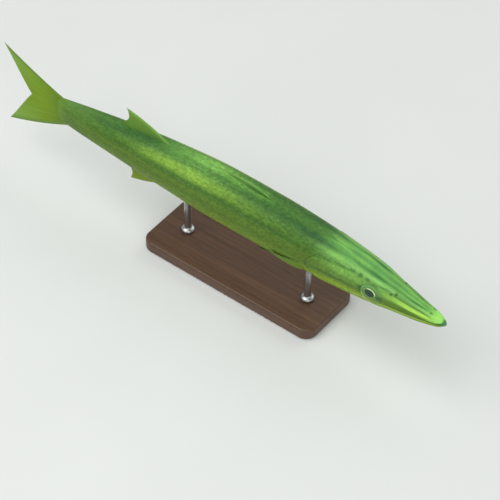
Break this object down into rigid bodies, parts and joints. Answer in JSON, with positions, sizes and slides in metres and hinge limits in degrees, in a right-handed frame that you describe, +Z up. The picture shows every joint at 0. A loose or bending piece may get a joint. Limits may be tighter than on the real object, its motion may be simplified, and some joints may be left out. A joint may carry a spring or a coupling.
{
  "type": "barracuda display model",
  "caption": "Life-size still model of a slender barracuda, gently bent as it swims, held over a flat base by two short rods.",
  "frame": {"origin": "the middle of the underside of the display base", "axes": "+X towards the fish's snout, +Z up, +Y towards the fish's own left side"},
  "size_m": [0.601, 0.084, 0.158],
  "materials": {
    "skin": "wet, finely scaled skin: dark teal-green back, brighter green flank band and olive lower side",
    "jaw_skin": "smooth wet skin, pale yellow-green",
    "gill_cover_skin": "smooth wet skin with small scales, lighter green with a silver sheen",
    "fin": "thin translucent yellow-green membrane over darker rays",
    "eye": "clear glossy cornea over a dark pupil and a pale silver-green iris",
    "base_wood": "dark oiled wood, satin",
    "rod_steel": "brushed steel"
  },
  "bodies": {
    "root": {"head": "skin", "trunk_front": "skin", "trunk_rear": "skin", "tail_stem": "skin", "lower_jaw": "jaw_skin", "gill_cover_left": "gill_cover_skin", "gill_cover_right": "gill_cover_skin", "first_dorsal_fin": "fin", "second_dorsal_fin": "fin", "anal_fin": "fin", "caudal_fin_upper": "fin", "caudal_fin_lower": "fin", "pectoral_fin_left": "fin", "pectoral_fin_right": "fin", "pelvic_fin_left": "fin", "pelvic_fin_right": "fin", "eye_left": "eye", "eye_right": "eye", "stand_base": "base_wood", "stand_rod_front": "rod_steel", "stand_rod_rear": "rod_steel"}
  },
  "joints": []
}
